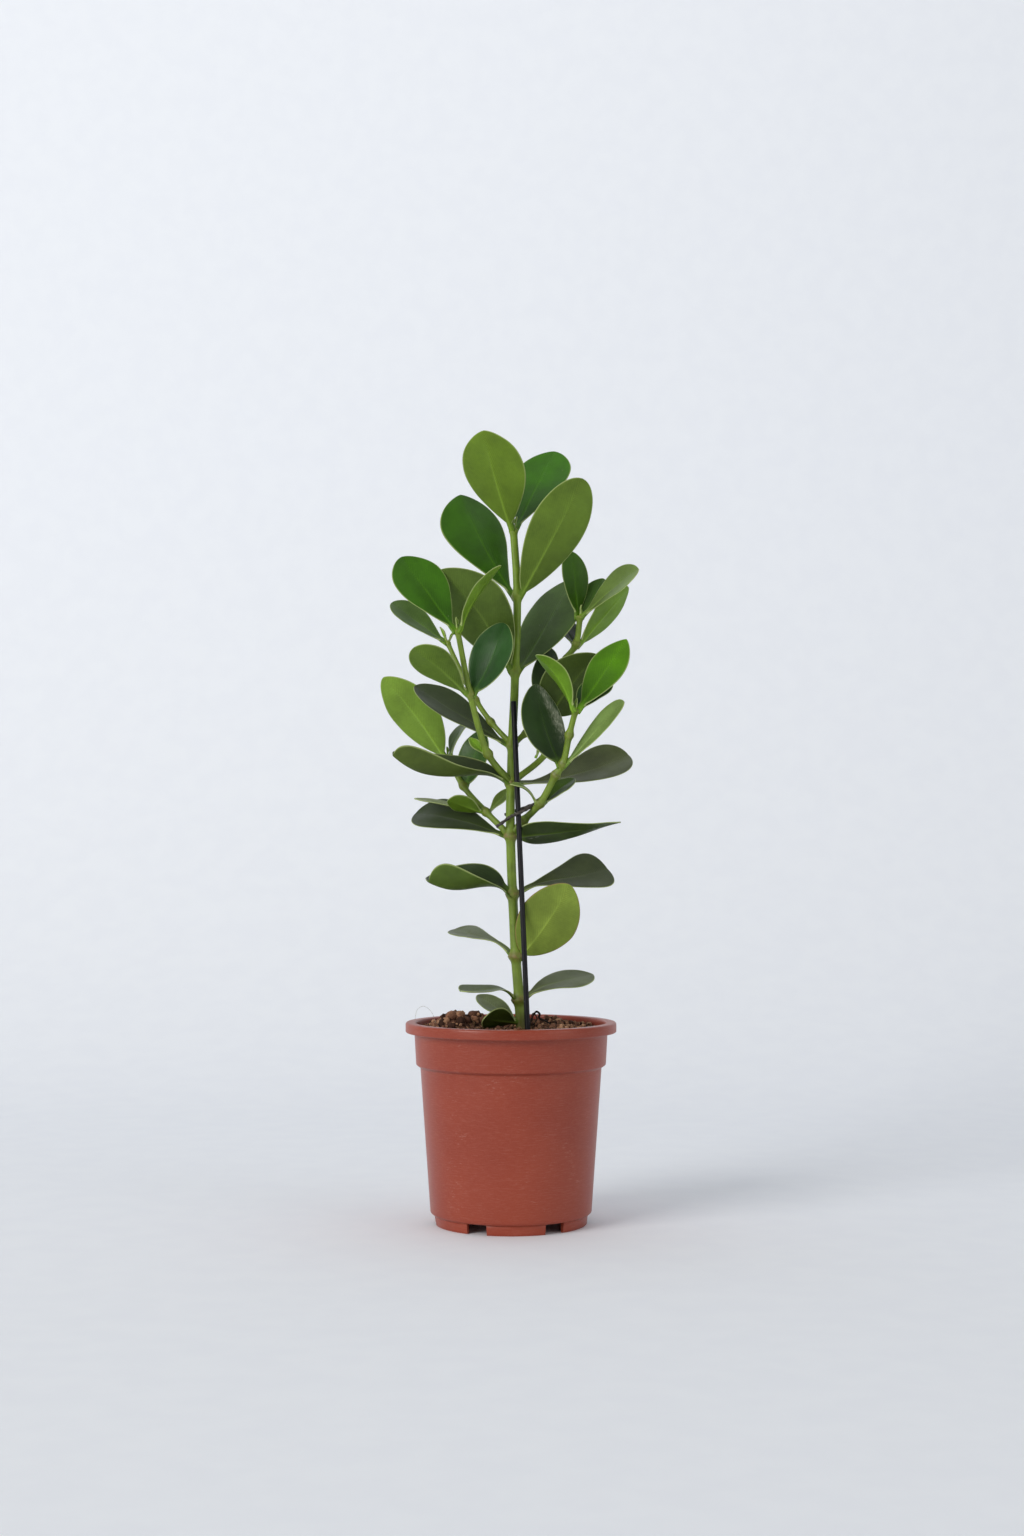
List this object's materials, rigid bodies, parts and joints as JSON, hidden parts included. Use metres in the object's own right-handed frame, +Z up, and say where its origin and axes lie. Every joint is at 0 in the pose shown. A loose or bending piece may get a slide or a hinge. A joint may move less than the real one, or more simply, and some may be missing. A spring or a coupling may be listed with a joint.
{
  "type": "potted clusia plant",
  "caption": "Young leafy clusia with thick rounded leaves in opposite pairs, tied to a thin stake in a plain round nursery pot with a broad lip.",
  "frame": {"origin": "the middle of the pot's underside, on the surface that the pot stands on", "axes": "+Z up along the pot's axis, -Y is the front, +X is to the right seen from the front"},
  "size_m": [0.2118, 0.17, 0.634],
  "materials": {
    "pot": "satin terracotta-coloured plastic",
    "soil": "dry crumbly reddish-brown potting soil with coir fibres",
    "stake": "smooth black plastic-coated stake",
    "wire": "dark coated tie wire",
    "main_stem": "smooth green stem with brown scars at the joints",
    "branch": "smooth bright yellow-green young shoots",
    "leaf": "thick leathery green leaf, satin above and paler below"
  },
  "bodies": {
    "root": {"pot": "pot", "potting_soil": "soil", "support_stake": "stake", "tie_wire": "wire", "main_stem": "main_stem", "branch_left_low": "branch", "branch_left_mid": "branch", "branch_left_top": "branch", "branch_right_low": "branch", "branch_right_mid": "branch", "branch_right_top": "branch", "leaf_main_9_front": "leaf", "leaf_main_9_back": "leaf", "leaf_main_8_front": "leaf", "leaf_main_8_back": "leaf", "leaf_main_7_front": "leaf", "leaf_main_7_back": "leaf", "leaf_main_6_left": "leaf", "leaf_main_5_left": "leaf", "leaf_main_5_right": "leaf", "leaf_main_4_left": "leaf", "leaf_main_4_right": "leaf", "leaf_main_3_left": "leaf", "leaf_main_3_right": "leaf", "leaf_main_2_left": "leaf", "leaf_main_2_right": "leaf", "leaf_main_1_left": "leaf", "leaf_main_1_right": "leaf", "leaf_main_0_back": "leaf", "leaf_main_0_front": "leaf", "leaf_left_low_1_front": "leaf", "leaf_left_low_1_back": "leaf", "leaf_left_low_1_left": "leaf", "leaf_left_low_2_right": "leaf", "leaf_left_low_3_front": "leaf", "leaf_left_low_3_back": "leaf", "leaf_left_mid_1": "leaf", "leaf_left_mid_2_front": "leaf", "leaf_left_mid_2_back": "leaf", "leaf_left_mid_3_back": "leaf", "leaf_left_mid_3_front": "leaf", "leaf_left_top_4": "leaf", "leaf_right_low_2_front": "leaf", "leaf_right_low_2_back": "leaf", "leaf_right_low_4_back": "leaf", "leaf_right_low_4_front": "leaf", "leaf_right_low_6_left": "leaf", "leaf_right_low_6_right": "leaf", "leaf_right_low_6_back": "leaf", "leaf_right_mid_5_back": "leaf", "leaf_right_mid_5_front": "leaf", "leaf_right_mid_5_rear": "leaf", "leaf_right_mid_4_front": "leaf", "leaf_right_mid_4_back": "leaf", "leaf_right_top_2_front": "leaf", "leaf_right_top_2_back": "leaf"}
  },
  "joints": []
}
